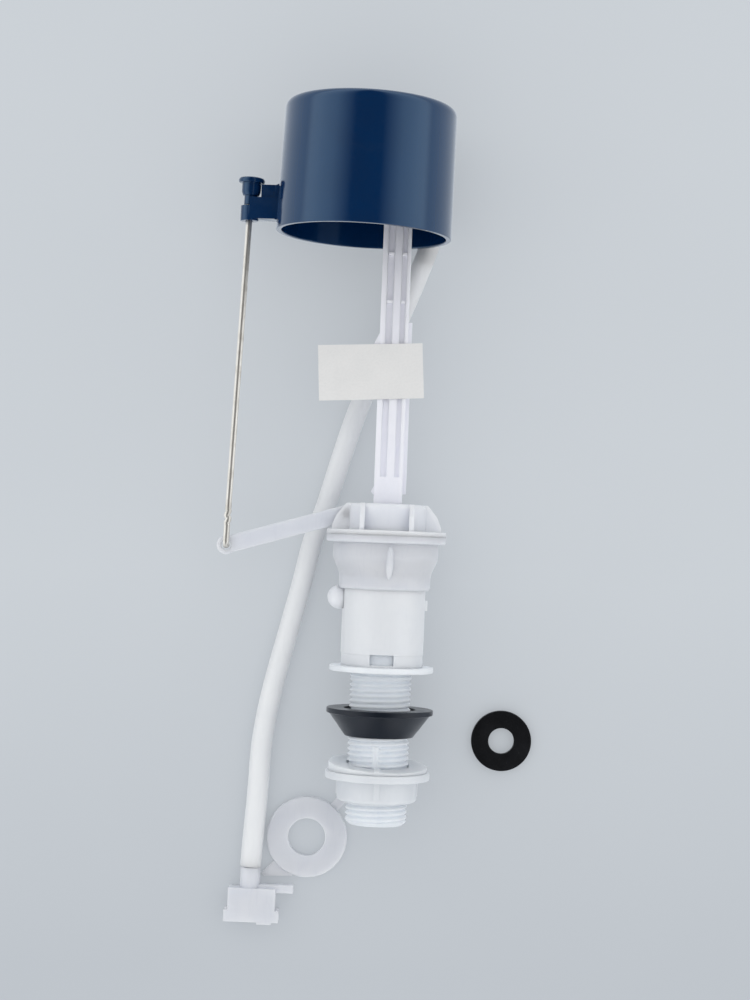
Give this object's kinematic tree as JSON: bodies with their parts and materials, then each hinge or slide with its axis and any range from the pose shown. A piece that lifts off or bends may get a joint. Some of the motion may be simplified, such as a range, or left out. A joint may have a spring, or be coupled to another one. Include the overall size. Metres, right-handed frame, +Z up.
{
  "type": "toilet fill valve",
  "caption": "Float-cup toilet fill valve: threaded shank with lock nut and seal washers, pilot lever linked to the cup, guide post, refill tube with overflow clip.",
  "frame": {"origin": "centre of the footprint, on the surface the pieces lie on", "axes": "+Y along the valve from the threaded inlet to the float cup, +Z up, away from the surface; the valve lies on its back with the front of the guide post up"},
  "size_m": [0.1112, 0.2804, 0.0595],
  "materials": {
    "white_plastic": "satin white moulded plastic",
    "translucent_plastic": "milky translucent moulded plastic",
    "frosted_tube": "soft frosted tube",
    "navy_plastic": "glossy dark blue plastic",
    "black_rubber": "matte black rubber",
    "grey_plastic": "satin grey plastic",
    "steel": "drawn wire, slightly dull"
  },
  "bodies": {
    "valve_body": {"shank_body": "white_plastic", "inlet_filter": "white_plastic", "flow_restrictor": "grey_plastic", "outer_sleeve": "white_plastic", "riser_o_ring": "black_rubber", "valve_bowl": "translucent_plastic", "backflow_washer": "black_rubber", "refill_elbow": "translucent_plastic", "diaphragm": "black_rubber", "diaphragm_plate": "grey_plastic", "head_cap": "translucent_plastic", "lever_pin": "steel", "guide_post": "white_plastic", "inlet_washer": "black_rubber", "retaining_ring": "translucent_plastic", "overflow_clip": "translucent_plastic", "refill_tube": "frosted_tube"},
    "float": {"float_cup": "navy_plastic"},
    "rod": {"link_rod": "steel"},
    "knob": {"adjusting_knob": "navy_plastic"},
    "lever": {"lever_arm": "translucent_plastic", "pilot_pad": "black_rubber"},
    "cone": {"cone_washer": "black_rubber"},
    "nut_carrier": {"nut_washer": "white_plastic"},
    "nut": {"lock_nut": "white_plastic"}
  },
  "joints": [
    {"name": "float_slide", "type": "slide", "parent": "valve_body", "child": "float", "axis": [0, 1, 0], "range_m": [0, 0.01225]},
    {"name": "lever_hinge", "type": "hinge", "parent": "valve_body", "child": "lever", "pos_m": [-0.01181, 0.00186, 0.02037], "axis": [0, 0, -1], "range_deg": [0, 16.85]},
    {"name": "rod_swing", "type": "hinge", "parent": "float", "child": "rod", "pos_m": [-0.04871, 0.10305, 0.02307], "axis": [0, 0, -1], "range_deg": [0, 1.1]},
    {"name": "knob_turn", "type": "hinge", "parent": "rod", "child": "knob", "pos_m": [-0.04871, 0.10305, 0.02307], "axis": [0.0325, 0.9995, 0], "continuous": true},
    {"name": "cone_washer_slide", "type": "slide", "parent": "valve_body", "child": "cone", "axis": [0, 1, 0], "range_m": [-0.003, 0.012]},
    {"name": "nut_turn", "type": "hinge", "parent": "nut_carrier", "child": "nut", "pos_m": [0.00219, -0.0951, 0.02037], "axis": [0, 1, 0], "range_deg": [-1584, 670]},
    {"name": "nut_slide", "type": "slide", "parent": "valve_body", "child": "nut_carrier", "axis": [0, 1, 0], "range_m": [-0.008, 0.0034]}
  ],
  "couplings": [
    {"joint": "lever_hinge", "follows": "float_slide", "rad_per_m": 23.93},
    {"joint": "rod_swing", "follows": "float_slide", "rad_per_m": 1.517},
    {"joint": "nut_slide", "follows": "nut_turn", "m_per_rad": 0.00028875}
  ]
}
